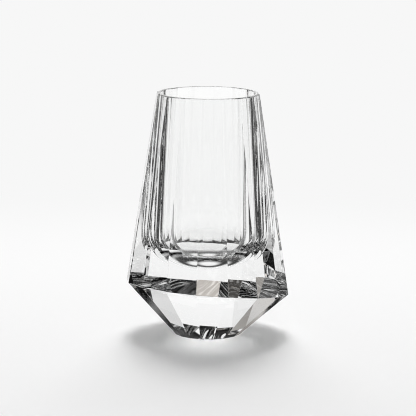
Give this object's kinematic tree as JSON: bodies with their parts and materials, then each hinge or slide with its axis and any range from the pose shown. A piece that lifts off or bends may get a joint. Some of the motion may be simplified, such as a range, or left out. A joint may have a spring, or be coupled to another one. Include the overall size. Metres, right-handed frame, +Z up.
{
  "type": "whiskey snifter",
  "caption": "Heavy cut-crystal whiskey snifter: round bore in a faceted body that widens from a thin rim to a leaning waist edge, then tapers in gem-like facets to a small flat foot.",
  "frame": {"origin": "centre of the foot's underside, on the bore's axis", "axes": "+Z up along the bore's axis, -Y toward the viewer of the picture, +X to the viewer's right"},
  "size_m": [0.08, 0.08, 0.12],
  "materials": {
    "crystal": "clear cut crystal, all facets and the bore polished"
  },
  "bodies": {
    "root": {"glass_body": "crystal"}
  },
  "joints": []
}
